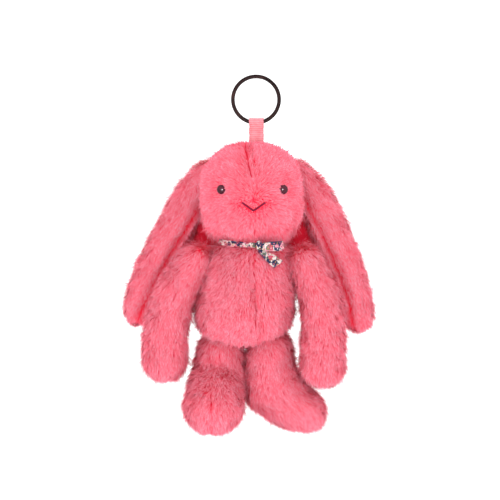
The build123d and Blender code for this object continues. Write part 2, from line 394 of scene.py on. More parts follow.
def grow(skin, name, comb, length, seed, lift, density=DENSITY, width=0.27, keep=None,
         short=None, clump=1.6, shade_shift=0.0, deep=None):
    """Pile over a skin. comb(p) gives the way the hair lies at points p; length, width and
    clump, the size of a tuft, are in mm; lift is how steeply hairs stand, from 0 to 1;
    keep(p) is where they grow; short(p) scales their length; deep(p) is near 1 in a sewn
    crease, where the hair is painted darker as painted shade; shade_shift lowers
    the whole pile's tone, as painted shade."""
    rng = np.random.default_rng(seed)
    co, tri, normal = surface(skin)
    a, b, c = (co[tri[:, k]] for k in range(3))
    area = 0.5 * np.linalg.norm(np.cross(b - a, c - a), axis=1)
    total = area.sum()
    count = int(total * density * (1.0))
    spots = (np.arange(count) + rng.random(count)) / count * total
    pick = np.minimum(np.searchsorted(np.cumsum(area), spots), len(tri) - 1)
    u, v = rng.random(count), rng.random(count)
    flip = u + v > 1
    u[flip], v[flip] = 1 - u[flip], 1 - v[flip]
    u, v, w = u[:, None], v[:, None], (1 - u - v)[:, None]
    t = tri[pick]
    p, n = (values[t[:, 0]] * w + values[t[:, 1]] * u + values[t[:, 2]] * v for values in (co, normal))
    n = unit(n)
    if keep is not None:
        inside = keep(p)
        p, n = p[inside], n[inside]
    count = len(p)

    way = comb(p)
    swirl = np.stack([ripple(p, 9.0, seed + k) for k in (1, 2, 3)], 1)
    way = unit(way) + 0.22 * swirl + 0.17 * rng.normal(size=(count, 3))
    way = unit(way - (way * n).sum(1, keepdims=True) * n)
    size = length * (1 + 0.08 * ripple(p, 9.0, seed + 5) + 0.12 * rng.normal(size=count))
    if short is not None:
        size = size * short(p)
    # a little shorter where the skin faces straight down
    size *= 1 - 0.25 * between(-n[:, 2], 0.85, 1.0)
    size = np.clip(size, 0.5, length * 1.5)
    up = np.clip(lift + 0.08 * ripple(p, 5.0, seed + 6) + 0.08 * rng.normal(size=count), 0.12, 0.9)
    guard = rng.random(count) < GUARD_SHARE
    up = np.where(guard, np.minimum(up + GUARD_LIFT, 0.9), up)
    size = np.where(guard, size * GUARD_LENGTH, size)

    # hairs of one tuft lean to a common tip
    warp = p + 0.55 * clump * np.stack([ripple(p, 3.2 * clump, seed + k) for k in (11, 12, 13)], 1)
    cell = np.floor(warp / clump).astype(int)
    _, tuft = np.unique(cell, axis=0, return_inverse=True)
    tuft = tuft.reshape(-1)
    members = np.bincount(tuft)
    tips = p + way * (size * (1 - up))[:, None] + n * (size * up)[:, None]
    mean_tip = np.stack([np.bincount(tuft, tips[:, k]) / members for k in range(3)], 1)[tuft]
    gather = np.clip(0.25 + 0.17 * rng.normal(size=count), 0, 0.8)[:, None]
    pull = (mean_tip - tips) * gather
    tuft_tone = rng.random(len(members))[tuft]

    along = np.array([0.0, 0.5, 1.0])
    rise = 1 - (1 - along) ** 1.9
    run = along ** 1.25
    line = (p[:, None] - 0.25 * n[:, None]
            + way[:, None] * (size * (1 - up))[:, None, None] * run[None, :, None]
            + n[:, None] * (size * up)[:, None, None] * rise[None, :, None]
            + pull[:, None] * (along ** 1.6)[None, :, None])
    go = unit(line[:, 2] - line[:, 0])
    side = unit(np.cross(go, n))
    other = np.cross(side, go)
    turn = rng.normal(0, 0.45, count)[:, None]
    side = side * np.cos(turn) + other * np.sin(turn)
    half = 0.5 * width * np.array([1.0, 0.8])
    verts = np.empty((count, 5, 3))
    for k in range(2):
        verts[:, 2 * k] = line[:, k] - side * half[k]
        verts[:, 2 * k + 1] = line[:, k] + side * half[k]
    verts[:, 4] = line[:, 2]

    base = (np.arange(count) * 5)[:, None]
    order = (base + np.array([0, 1, 3, 2, 2, 3, 4])).reshape(-1)
    starts = ((np.arange(count) * 7)[:, None] + np.array([0, 4])).reshape(-1)
    mesh = bpy.data.meshes.new(name)
    mesh.vertices.add(count * 5)
    mesh.vertices.foreach_set("co", (verts * MM).astype(np.float32).reshape(-1))
    mesh.loops.add(len(order))
    mesh.loops.foreach_set("vertex_index", order.astype(np.int32))
    mesh.polygons.add(count * 2)
    mesh.polygons.foreach_set("loop_start", starts.astype(np.int32))
    mesh.update(calc_edges=True)
    mesh.polygons.foreach_set("use_smooth", np.ones(count * 2, bool))

    # the tone differs at random by place, tuft and hair; shade_shift lowers it all over as painted shade
    tone = np.clip(0.58 + 0.12 * ripple(p, 12.0, seed + 8) + 0.45 * (tuft_tone - 0.5)
                   + 0.27 * rng.normal(size=count) + shade_shift, 0.2, 0.999)
    # painted shade: hair in a sewn crease is painted darker
    if deep is not None:
        tone = tone * (1 - deep(p))
    corner_side = np.array([0, 1, 1, 0, 0, 1, 0.5])
    corner_along = np.array([0, 0, 0.5, 0.5, 0.5, 0.5, 1.0])
    uv = np.empty((count, 7, 2), np.float32)
    uv[:, :, 0] = (np.floor(tone * SHADES)[:, None] + 0.2 + 0.6 * corner_side) / SHADES
    uv[:, :, 1] = 0.01 + 0.98 * corner_along
    layer = mesh.uv_layers.new(name="OFBake")
    layer.data.foreach_set("uv", uv.reshape(-1))

    soft = unit(0.55 * n[:, None] + 0.45 * np.sign((other * n).sum(1))[:, None, None] * other[:, None])
    mesh.normals_split_custom_set_from_vertices(np.repeat(soft, 5, axis=1).reshape(-1, 3).tolist())
    return new_object(name, mesh)


# ---- skins ----
def head_half_x(s):
    return through(s, 25.4, 24.0, 22.4)


def head_middle(s):
    return HEAD_X, -2.0 * math.sin(math.pi * min(1, 1.15 * (1 - s)))


def face_y(x, z):
    s = (z - HEAD_BOTTOM) / (HEAD_TOP - HEAD_BOTTOM)
    mx, my = head_middle(s)
    rx, ry = head_half_x(s) * dome(s, 2.5), 21.0 * dome(s, 2.5)
    return my - ry * math.sqrt(max(0.02, 1 - ((x - mx) / rx) ** 2))


GROWN = 10.0  # the simulation runs on a larger copy, where its settings work well
SIM_FRAMES = 20
PRESSURE = 4.0
SEAM_FADE = 6.0  # how far from its ends a sewn seam reaches full depth


def remesh_evenly(obj, voxel, soften=4):
    remesh = obj.modifiers.new("even", "REMESH")
    remesh.mode = "VOXEL"
    remesh.voxel_size = voxel * MM
    ease = obj.modifiers.new("ease", "SMOOTH")
    ease.factor = 0.6
    ease.iterations = soften
    graph = bpy.context.evaluated_depsgraph_get()
    mesh = bpy.data.meshes.new_from_object(obj.evaluated_get(graph))
    obj.modifiers.clear()
    mesh.name = obj.name
    obj.data = mesh


def stuffed(obj, sewn, cap, voxel=1.5):
    """Cloth simulation: the stuffing's pressure swells the panels between the sewn seams.
    sewn(p) is how tightly a point is held; no point moves more than cap mm."""
    remesh_evenly(obj, voxel)
    start = positions(obj) * GROWN
    sim = new_object("stuffing_sim", obj.data.copy())
    sim.data.vertices.foreach_set("co", start.reshape(-1))
    seam = sim.vertex_groups.new(name="seam")
    hold = sewn(start / GROWN / MM)
    for k in np.nonzero(hold > 0.05)[0]:
        seam.add([int(k)], float(min(1, hold[k])), "REPLACE")
    cloth = sim.modifiers.new("cloth", "CLOTH")
    cloth.settings.use_pressure = True
    cloth.settings.uniform_pressure_force = PRESSURE
    cloth.settings.effector_weights.gravity = 0
    cloth.settings.vertex_group_mass = "seam"
    cloth.settings.quality = 4
    cloth.point_cache.frame_start = 1
    cloth.point_cache.frame_end = SIM_FRAMES
    for moment in range(1, SIM_FRAMES + 1):
        scene.frame_set(moment)
    graph = bpy.context.evaluated_depsgraph_get()
    swollen = sim.evaluated_get(graph).to_mesh()
    move = (triples(swollen.vertices, "co") - start) / GROWN
    bpy.data.objects.remove(sim)
    scene.frame_set(1)
    size = np.linalg.norm(move, axis=1, keepdims=True)
    move *= np.minimum(1, cap * MM / np.maximum(size, 1e-9))
    obj.data.vertices.foreach_set("co", (start / GROWN + move).reshape(-1))
    return smoothed(obj)


def sew(obj, centre, line, z_low, z_high, depth, width, front=True):
    """Pulls a skin in towards centre along a sewn seam; line(p) is the distance from it."""
    p = positions(obj) / MM
    level = (np.clip((p[:, 2] - z_low) / SEAM_FADE, 0, 1)
             * np.clip((z_high - p[:, 2]) / SEAM_FADE, 0, 1))
    facing = np.clip(-(p[:, 1] - centre[1]) / SEAM_FADE, 0, 1) if front else 1.0
    inward = unit(np.array(centre) - p)
    return moved_to(obj, p + inward * (depth * bell(line(p), width) * level * facing)[:, None])


def front_and_sides(line):
    """Seams down the front, at distance line(p), and round both sides."""
    return lambda p: bell(line(p), 1.6) * (p[:, 1] < 0) + bell(p[:, 1], 1.5)


def forehead_line(p):
    """Distance from the forehead seam, which leans to the left as it rises."""
    return p[:, 0] - (-1.9 - 3.6 * between(p[:, 2], -42, -24))


def belly_line(p):
    """Distance from the belly seam, which bends to the right lower down."""
    return p[:, 0] - (SEAM_X - 0.4 + 4.4 * between(-p[:, 2], 82, 112) ** 1.5)


def head_skin():
    pts, faces = cushion(HEAD_BOTTOM - 0.9, HEAD_TOP - 1.2, lambda s: head_half_x(s) - 0.6,
                         lambda s: 20.2, head_middle, 3.0, 56, 96, 2.45)
    skin = stuffed(closed_solid("head_skin", pts, faces), front_and_sides(forehead_line), 1.0)
    return sew(skin, (HEAD_X, 0, -46), forehead_line, -44, -18, 2.4, 1.5)


def body_skin():
    pts, faces = cushion(
        BODY_BOTTOM - 0.2, BODY_TOP - 0.3, lambda s: through(s, 24.2, 22.2, 21.6),
        lambda s: through(s, 16.8, 17.0, 13.8),
        lambda s: (BELLY_X + (HEAD_X - BELLY_X) * s ** 1.4, -1.0 * (1 - s)), 2.6, 56, 96, 4.2)
    skin = stuffed(closed_solid("body_skin", pts, faces), front_and_sides(belly_line), 1.0)
    return sew(skin, (-5, 0, -98), belly_line, -116, -80, 1.5, 3.2)


ARM_ROUTES = {
    "left": [(-27, -76), (-33, -85.5), (-39.2, -96), (-43.5, -108), (-45.4, -121), (-44.9, -138.6)],
    "right": [(22.5, -76), (26.5, -85.5), (30.7, -97), (33, -109), (33.3, -122), (33.2, -141.6)],
}
EAR_ROUTES = {
    "left": [(-25.5, -33), (-33, -49), (-40.4, -64), (-48, -79), (-54.8, -94), (-60, -111)],
    "right": [(21, -33), (29, -48), (36.6, -64), (43.2, -80), (48.8, -97), (52, -114.5)],
}
LINING_SHIFT = (1.5, 6.5, 14.4, 15.6, 10.0)  # towards the head, at each point of the ear's route
TOWARD_HEAD = {"left": 1, "right": -1}
EAR_FOLD = {"left": (5.4, 0.6), "right": (4.4, 2.6)}  # how far in the fold lies, at top and tip


def at_depth(route, y):
    return [(x, y, z) for x, z in route]


def rooted(route, side, inward, up):
    """The route with its first point moved towards the rabbit's middle, and up."""
    (x, z), *others = route
    return [(x + TOWARD_HEAD[side] * inward, z + up), *others]


def arm_skin(side):
    route = rooted(ARM_ROUTES[side], side, 1.4, 1.8)
    pts, faces = tube(at_depth(route, SHOULDER_Y), (6.4, 8.6, 9.6), (5.6, 8.4, 9.0))
    return stuffed(closed_solid(f"arm_{side}_skin", pts, faces),
                   lambda p: bell(p[:, 1] - SHOULDER_Y, 1.5), 0.8)


def ear_skin(side):
    route = rooted(EAR_ROUTES[side], side, 6.5, 0.8)
    pts, faces = tube(at_depth(route, EAR_Y), (6.4, 8.0, 6.8), (3.8, 4.9, 4.5))
    skin = stuffed(closed_solid(f"ear_{side}_skin", pts, faces),
                   lambda p: bell(p[:, 1] - EAR_Y, 1.2), 0.6, 1.3)
    return sew(skin, (0, 40, -80), ear_fold(side), -109, -40, 3.2, 1.7, front=False)


def ear_fold(side):
    """Distance from the fold that runs down the ear's front between its two rolls."""
    line, way, _ = smooth_route(at_depth(EAR_ROUTES[side], EAR_Y), 60)
    across = np.stack([-way[:, 2], 0 * way[:, 0], way[:, 0]], 1)

    def distance(p):
        near = np.argmin(((p[:, None, ::2] - line[None, :, ::2]) ** 2).sum(2), 1)
        top, tip = EAR_FOLD[side]
        place = tip + (top - tip) * between(p[:, 2], -108, -54)
        off = ((p - line[near]) * across[near]).sum(1) - place * TOWARD_HEAD[side]
        return np.where(p[:, 1] < EAR_Y, off, 99)

    return distance


def lining_skin(side):
    route = [
        (x + TOWARD_HEAD[side] * shift, LINING_Y, z - 1.5)
        for (x, z), shift in zip(EAR_ROUTES[side][:-1], LINING_SHIFT)
    ]
    pts, faces = tube(route, (5.0, 7.8, 4.5), (1.5, 2.1, 1.5))
    return closed_solid(f"ear_{side}_lining_skin", pts, faces)


def turned(axis, degrees):
    """Rotation matrix about X, Y or Z, which are axes 0, 1 and 2."""
    a = math.radians(degrees)
    i, j = ((1, 2), (2, 0), (0, 1))[axis]
    matrix = np.eye(3)
    matrix[i, i] = matrix[j, j] = math.cos(a)
    matrix[i, j], matrix[j, i] = -math.sin(a), math.sin(a)
    return matrix


LEGS = {
    "left": {"turn": turned(1, 6) @ turned(2, -3), "ankle": 21.2, "pitch": 22.0, "wide": 14.0,
             "thick": 12.6, "instep": (20.0, 13.0)},
    "right": {"turn": turned(2, 88), "ankle": 20.6, "pitch": 28.0, "wide": 13.4,
              "thick": 10.8, "instep": (14.5, 7.0)},
}


def leg_skin(side):
    """Shank and foot joined under one skin."""
    facts = LEGS[side]
    ankle, thick, wide = facts["ankle"], facts["thick"], facts["wide"]
    reach, ahead = facts["instep"]
    shank, shank_faces = cushion(
        -ankle - 8.0, 10.2, lambda s: 12.6 - 2.4 * s, lambda s: 12.6 - 2.4 * s, lambda s: (0, 0),
        3.4, 40, 48)
    foot, foot_faces = cushion(
        -10.4, 29.6, lambda s: through(s, 11.8, wide - 0.6, wide),
        lambda s: through(s, 10.4, thick, thick), lambda s: (0, 0), 2.25, 40, 56)
    foot = foot @ turned(0, 90 + facts["pitch"]).T + np.array([0, 0, -ankle])
    instep, instep_faces = cushion(
        -ankle - 9.0, -4.0, lambda s: 13.4 - 2.7 * s, lambda s: reach + (11.0 - reach) * s,
        lambda s: (0, -ahead * (1 - s) - 1.5 * s), 2.4, 30, 48)
    pts = np.vstack([shank, foot, instep])
    faces = shank_faces + [tuple(k + len(shank) for k in f) for f in foot_faces]
    faces += [tuple(k + len(shank) + len(foot) for k in f) for f in instep_faces]
    pts = pts @ facts["turn"].T + np.array([HIP_X[side], HIP_Y, HIP_Z])
    skin = solid(f"leg_{side}_skin", pts, faces)
    remesh_evenly(skin, 1.2, 36)
    hip, off_seam = leg_axes(side)
    stuffed(skin, lambda p: bell(off_seam(p), 1.4) + (np.linalg.norm(p - hip, axis=1) < 10.6), 0.7)
    return sew(skin, hip + np.array([0, 0, -24]), off_seam, -172, -134, 0.3, 1.0)


def leg_axes(side):
    """The hip, and the distance across the leg from the seam between its two panels."""
    hip, across = np.array([HIP_X[side], HIP_Y, HIP_Z]), LEGS[side]["turn"] @ RIGHT
    return hip, lambda p: (p - hip) @ across


# ---- combing ----
def straight_down(p):
    return np.tile([0.0, 0.0, -1.0], (len(p), 1))


def head_comb(p):
    """Out from the nose, and down."""
    out = p - np.array([-1.2, -24.0, -51.5])
    out[:, 1] *= 0.4
    way = unit(out)
    way[:, 2] -= 0.35 + 0.4 * (p[:, 1] > 0)
    off = forehead_line(p)
    way[:, 0] += 0.45 * np.sign(off) * bell(off, 5) * (p[:, 2] > -42) * (p[:, 1] < 0)
    way[:, 2] -= 1.2 * between(-p[:, 2], 61, 65)
    return way


def body_comb(p):
    """Down, and a little away from the belly seam."""
    way = straight_down(p)
    off = belly_line(p)
    way[:, 0] = 0.02 * off + 0.10 * np.tanh(off) * bell(off, 5) * (p[:, 1] < 0)
    return way


def limb_comb(route, y):
    """Along the limb, and a little down."""
    line, way, _ = smooth_route(at_depth(route, y), 60)

    def comb(p):
        near = np.argmin(((p[:, None] - line[None]) ** 2).sum(2), 1)
        return way[near] + np.array([0, 0, -0.2])

    return comb


def ear_comb(side):
    base, fold = limb_comb(EAR_ROUTES[side], EAR_Y), ear_fold(side)

    def comb(p):
        off = fold(p)
        way = base(p)
        way[:, 0] += 0.55 * np.sign(off) * bell(off, 3.0)
        return way

    return comb


def leg_comb(side):
    """Down the leg; on the right, whose foot points sideways, also along the foot."""
    turn = LEGS[side]["turn"]
    pitch = math.radians(LEGS[side]["pitch"])
    toe = turn @ np.array([0, -math.cos(pitch), -math.sin(pitch)])
    down = turn @ np.array([0, 0, -1.0])
    across = turn @ RIGHT
    hip, off_seam = leg_axes(side)

    def comb(p):
        lower = between((p - hip) @ down, 14, 24)[:, None]
        off = off_seam(p)
        part = (0.06 * np.tanh(off) * bell(off, 3))[:, None] * across
        along = 0.7 * lower if side == "right" else 0.0
        return down * (1 - lower) + along * toe + (0.6 * np.array([0, 0, -1.0]) + part) * lower

    return comb


# ---- build the soft parts ----
EYES = []
for sign in (-1, 1):
    ex = HEAD_X + sign * EYE_REACH + 0.4
    slope = face_y(ex + sign * 0.5, EYE_Z) - face_y(ex - sign * 0.5, EYE_Z)
    EYES.append((np.array([ex, face_y(ex, EYE_Z), EYE_Z]), unit(np.array([sign * slope, -1.0, 0]))))
NOSE = [(-6.9, -52.0), (-1.2, -56.0), (4.4, -52.0)]
NOSE_PATH = np.array([(x, face_y(x, z), z) for x, z in NOSE])


def distance_to_path(p, path):
    best = np.full(len(p), 1e9)
    for a, b in zip(path[:-1], path[1:]):
        ab = b - a
        t = np.clip(((p - a) @ ab) / (ab @ ab), 0, 1)
        best = np.minimum(best, np.linalg.norm(p - a - t[:, None] * ab, axis=1))
    return best


def face_short(p):
    """Shorter hair round the eyes and nose, on the face, under the chin and on the crown."""
    s = np.ones(len(p))
    for spot, _ in EYES:
        d = np.linalg.norm(p - spot, axis=1)
        s *= 0.40 + 0.60 * between(d, 2.2, 6.0)
    s *= 0.16 + 0.84 * between(distance_to_path(p, NOSE_PATH), 0.6, 5.0)
    face = np.exp(-((p[:, 0] + 1.2) / 13) ** 2 - ((p[:, 2] + 52) / 10) ** 2) * (p[:, 1] < -5)
    chin = between(-p[:, 2], 61, 65) * (p[:, 1] < 4)
    covers = between(np.abs(p[:, 0] + 7.0), 9.0, 13.0)
    crown = between(p[:, 2], -32, -24)
    return s * (1 - 0.25 * face) * (1 + chin * (0.55 * covers - 0.05)) * (1 - 0.25 * crown)


def head_keep(p):
    ok = p[:, 2] > -70.0
    for spot, _ in EYES:
        ok &= np.linalg.norm(p - spot, axis=1) > 1.45
    tab = (abs(p[:, 0] - TAB_X) < 3.7) & (abs(p[:, 1]) < 0.8) & (p[:, 2] > -24)
    return ok & ~tab


def finished(obj, material, body, slot, *nodes):
    """Piece with its material, body and nodes; body is None for one that blends; slot is not used."""
    obj.data.materials.append(material)
    if body:
        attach(obj, body)
    if nodes:
        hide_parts(*nodes)
    return obj


def padded_part(skin, fill, body, *nodes, slot="plush_fur"):
    finished(skin, BACKING, body, slot)
    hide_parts(*nodes)


def pile(skin, name, body, *nodes, slot="plush_fur", material=FUR, **settings):
    finished(grow(skin, name, **settings), material, body, slot, *nodes)


# the sewn panels of the head and body: pile, end of the node's name, and where it is
PANELS = (
    ("left", "front_left", lambda p: (p[:, 0] < SEAM_X) & (p[:, 1] < 0)),
    ("right", "front_right", lambda p: (p[:, 0] >= SEAM_X) & (p[:, 1] < 0)),
    ("back", "back", lambda p: p[:, 1] >= 0),
)
SEEDS = {
    "left": {"arm": (121, 141), "ear": 141, "lining": 151, "leg": (161, 162)},
    "right": {"arm": (131, 151), "ear": 142, "lining": 152, "leg": (171, 172)},
}


# painted shade: the hair along the forehead seam is painted darker, as the shade in its crease
def head_crease_shade(p):
    return 0.6 * bell(forehead_line(p), 0.9) * (p[:, 1] < 0) * between(p[:, 2], -42, -38)


def build_head():
    skin = head_skin()
    padded_part(skin, 0.8, "head", "head_stuffing")
    # painted shade: the head's pile is painted a little darker all over (shade_shift), where the head
    # catches more light
    for seed, (face, ending, panel) in enumerate(PANELS, 101):
        pile(skin, f"head_pile_{face}", "head", f"head_{ending}", density=DENSITY * 1.15,
             comb=head_comb, length=5.2, seed=seed, short=face_short, lift=0.44, width=0.24,
             keep=lambda p: head_keep(p) & panel(p), shade_shift=-0.2, deep=head_crease_shade)


def body_short(p):
    """Shorter hair under the neck ribbon and behind the bow."""
    bow = np.exp(-((p[:, 0] - 8) / 7) ** 2 - ((p[:, 2] + 78) / 5) ** 2) * (p[:, 1] < 0)
    neck = between(-p[:, 2], 71.5, 75)
    shoulder = between(np.abs(p[:, 0] + 7.0), 9.0, 13.0)
    return (0.45 + 0.55 * np.maximum(neck, shoulder)) * (1 - 0.5 * bow)


# painted shade: the hair along the belly seam is painted darker, as the shade in its crease
def body_crease_shade(p):
    return (0.7 * bell(belly_line(p), 1.5 + 0.7 * ripple(p, 12.0, 9)) * (p[:, 1] < 0)
            * between(-p[:, 2], 86, 96) * between(p[:, 2], -117, -109))


def build_body():
    skin = body_skin()
    padded_part(skin, 0.8, "torso", "body_stuffing")
    for seed, (face, ending, panel) in enumerate(PANELS, 111):
        pile(skin, f"body_pile_{face}", "torso", f"body_{ending}", comb=body_comb, length=6.6,
             seed=seed, keep=panel, short=body_short, lift=0.46, deep=body_crease_shade)


def build_neck():
    """Short-haired neck inside the ribbon, which closes the gap under the chin."""
    points, faces = cushion(-76.0, -64.5, lambda s: 16.2, lambda s: 12.4, lambda s: (HEAD_X, 0),
                            2.6, 24, 72)
    skin = closed_solid("neck_skin", points, faces)
    finished(skin, BACKING, "neck_band", "plush_fur")
    # painted shade: the neck pile, under the chin, is painted a little darker all over (shade_shift)
    pile(skin, "neck_pile", "neck_band", density=8.0, comb=straight_down, length=3.2, seed=119,
         keep=lambda p: (p[:, 2] > -74.0) & (p[:, 2] < -66.5), lift=0.5, shade_shift=-0.15)


def build_limb(part, side, skin, panels, **settings):
    """Stuffed arm or leg, with a pile on each of its two panels."""
    padded_part(skin, 0.75, f"{side}_{part}", f"{part}_{side}_stuffing")
    for seed, (face, panel) in zip(SEEDS[side][part], panels):
        pile(skin, f"{part}_{side}_pile_{face}", f"{side}_{part}", f"{part}_{side}_{face}",
             seed=seed, keep=panel, **settings)


def build_arm(side):
    panels = (("front", lambda p: p[:, 1] < SHOULDER_Y), ("back", lambda p: p[:, 1] >= SHOULDER_Y))
    build_limb("arm", side, arm_skin(side), panels, length=6.4, lift=0.40,
               comb=limb_comb(ARM_ROUTES[side], SHOULDER_Y))


def build_ear(side):
    fold = ear_fold(side)

    # painted shade: the hair along the ear's fold is painted darker, as the shade in the fold
    def deep(p):
        return 0.8 * between(-p[:, 2], 42, 56) * bell(fold(p), 1.3 + 0.5 * ripple(p, 16.0, 7))

    skin = ear_skin(side)
    padded_part(skin, 0.4, f"{side}_ear")
    pile(skin, f"ear_{side}_pile", f"{side}_ear", f"ear_{side}_outer", comb=ear_comb(side),
         length=6.2, seed=SEEDS[side]["ear"], lift=0.40, deep=deep,
         short=lambda p: 0.55 + 0.45 * between(np.abs(fold(p)), 0.8, 3.2))

    lining = lining_skin(side)
    padded_part(lining, 0.3, f"{side}_ear", slot="ear_lining")
    pile(lining, f"ear_{side}_lining_pile", f"{side}_ear", f"ear_{side}_lining", slot="ear_lining",
         density=9.0, comb=limb_comb(EAR_ROUTES[side], LINING_Y), length=2.2,
         seed=SEEDS[side]["lining"], lift=0.35, width=0.22, material=LINING_FUR, clump=1.2)


def build_leg(side):
    _, off_seam = leg_axes(side)

    # painted shade: the hair along the leg's seam, on its front, is painted darker, as the shade in its
    # crease
    def deep(p):
        return (0.4 * (p[:, 1] < HIP_Y) * between(-p[:, 2], 130, 138)
                * bell(off_seam(p), 1.0 + 0.5 * ripple(p, 14.0, 8)))

    first, second = ("outer", "inner") if side == "left" else ("front", "back")
    panels = ((first, lambda p: off_seam(p) < 0), (second, lambda p: off_seam(p) >= 0))
    build_limb("leg", side, leg_skin(side), panels, length=6.2, lift=0.38, comb=leg_comb(side),
               deep=deep)


build_head()
build_body()
build_neck()
for side in SIDES:
    build_arm(side)
    build_ear(side)
    build_leg(side)


# ---- ring, ribbons, eyes and nose ----
def swept(name, centres, rights, ups, profiles, closed=False):
    """Solid swept along centres; each profile is a closed loop of (right, up) offsets."""
    across = len(profiles[0])
    points = [
        c + r * a + u * b
        for c, r, u, profile in zip(centres, rights, ups, profiles) for a, b in profile
    ]
    rows = len(centres)
    faces = tube_faces(rows, across, capped=False)
    if closed:
        last = (rows - 1) * across
        faces += [(last + j, last + (j + 1) % across, (j + 1) % across, j) for j in range(across)]
    else:
        faces += [tuple(range(across)), tuple(reversed(range((rows - 1) * across, rows * across)))]
    return closed_solid(name, points, faces)


def rounded_box(wide, tall, radius):
    steps, loop = 5, []
    for sx, sy, start in ((1, 1, 0), (-1, 1, 90), (-1, -1, 180), (1, -1, 270)):
        for k in range(steps):
            a = math.radians(start + 90 * k / (steps - 1))
            loop.append((sx * (wide / 2 - radius) + radius * math.cos(a),
                         sy * (tall / 2 - radius) + radius * math.sin(a)))
    return loop


def ring_wire():
    """Two flat turns of wire with the jog between them, its free ends rounded."""
    start, jog, turn_angle = 76.5, 32.0, 327.5  # degrees
    total = 2 * turn_angle + jog
    count, ending = 520, 4.0  # steps along the wire, and those in a rounded end
    centres, rights, profiles = [], [], []
    for i in range(count):
        swept_angle = total * i / (count - 1)
        slide = min(1, max(0, (swept_angle - turn_angle) / jog))
        y = LAYER * math.cos(math.pi * slide)
        a = math.radians(start + swept_angle)
        out = np.array([math.cos(a), 0, math.sin(a)])
        end = min(swept_angle, total - swept_angle) / total * count
        taper = math.sqrt(1 - (1 - min(1, end / ending)) ** 2) * 0.75 + 0.25
        centres.append(out * RING_MID + np.array([0, y, 0]))
        rights.append(out)
        profiles.append(rounded_box(WIRE, TURN * taper, 0.28 * taper))
    return swept("split_ring_wire", np.array(centres), rights, [np.array([0, 1.0, 0])] * count, profiles)


def ring_metal():
    """Blackened steel, a little browner and duller in patches."""
    mat, tree, main, cloud = speckled(
        "ring_gunmetal", 0.3, 220.0, 5.0,
        [(0.35, (0.010, 0.006, 0.006)), (0.55, (0.015, 0.009, 0.009)), (0.75, (0.040, 0.020, 0.018))],
        Metallic=1.0)
    drift_roughness(tree, main, cloud, (0.3, 0.24), (0.7, 0.42))
    grain = texture(tree, "ShaderNodeTexNoise", Scale=2600.0, Detail=2.0)
    bump(tree, main, grain.outputs["Fac"], 0.15, 0.00004)
    return mat


def strip(name, centres, ways, normals, half_widths, thick, rib=0.0, closed=False, crease=None):
    """Woven ribbon swept along centres; normals point out of its face. Ribs, rib mm high, run
    across it; crease(t, s) lifts it at t along and s across, from -1 to 1."""
    columns = 12
    run = run_along(centres)
    profiles, rights = [], []
    for i in range(len(centres)):
        rights.append(np.cross(normals[i], ways[i]))
        bulge = rib * math.cos(2 * math.pi * run[i] / RIB_PITCH)
        face = []
        for j in range(columns + 1):
            s = 2 * j / columns - 1
            edge = 1 - 0.45 * abs(s) ** 10
            fold = crease(i / (len(centres) - 1), s) if crease else 0.0
            face.append((s * half_widths[i], (thick / 2 + bulge) * edge, fold))
        profiles.append([(a, fold + b) for a, b, fold in face]
                        + [(a, fold - b) for a, b, fold in reversed(face)])
    obj = swept(name, centres, rights, normals, profiles, closed)
    along = obj.data.attributes.new("run", "FLOAT", "POINT")
    along.data.foreach_set("value", np.repeat(run, len(profiles[0])).astype(np.float32))
    return obj


def ribbon_tab():
    """One grosgrain strip: up the back, over the wire and down the front."""
    r = LOOP_R + TAB_T / 2
    half = [(0.24, -25.0), (0.24, -20.0), (0.24, -17.0), (0.30, -15.7)]
    half += [(r * math.cos(math.radians(a)), LOOP_Z + r * math.sin(math.radians(a)))
             for a in (-23, 0, 30, 60)]
    route = half + [(0, LOOP_Z + r)] + [(-y, z) for y, z in reversed(half)]
    line, way, _ = smooth_route([(TAB_X, y, z) for y, z in route], 460)
    normal = np.cross(way, RIGHT)
    obj = strip("ribbon_tab_strip", line, way, normal, [TAB_W / 2] * len(line), TAB_T * 0.72, 0.07)
    # the fold over the wire sags a little between its edges
    p = positions(obj) / MM
    top = np.clip((p[:, 2] + 10.6) / 1.2, 0, 1)
    p[:, 2] += 0.16 * top * ((np.abs(p[:, 0] - TAB_X) / (TAB_W / 2)) ** 2 - 0.6)
    p[:, 0] += 0.07 * np.sin(p[:, 2] * 1.3) + 0.05 * np.sin(p[:, 2] * 3.1)
    return moved_to(obj, p)


def tab_material():
    """Pink grosgrain, lighter on its ribs, whose crests are painted lighter as painted highlight."""
    mat, tree, main = shader("grosgrain", 0.62, Sheen_Weight=0.25, Specular_IOR_Level=0.3)
    threads = texture(tree, "ShaderNodeTexWave", wave_type="BANDS", bands_direction="X",
                      Scale=1500.0, Distortion=0.6)
    cloud = texture(tree, "ShaderNodeTexNoise", Scale=500.0, Detail=4.0)
    run = node(tree, "ShaderNodeAttribute", attribute_name="run")
    # painted highlight: the rib crests, which follow the strip's rib bulges, are painted lighter
    rib = maths(tree, "COSINE", maths(tree, "MULTIPLY", run.outputs["Fac"], 2 * math.pi / RIB_PITCH))
    weave = maths(tree, "ADD", maths(tree, "MULTIPLY", threads.outputs["Fac"], 0.2),
                  maths(tree, "MULTIPLY", rib, 0.16))
    mix = maths(tree, "MULTIPLY_ADD", cloud.outputs["Fac"], 0.8, weave)
    pinks = [(0.25, (0.62, 0.145, 0.175)), (0.75, (0.84, 0.285, 0.325))]
    tree.links.new(ramp(tree, mix, pinks), main.inputs["Base Color"])
    bump(tree, main, threads.outputs["Fac"], 0.4, 0.00006)
    return mat


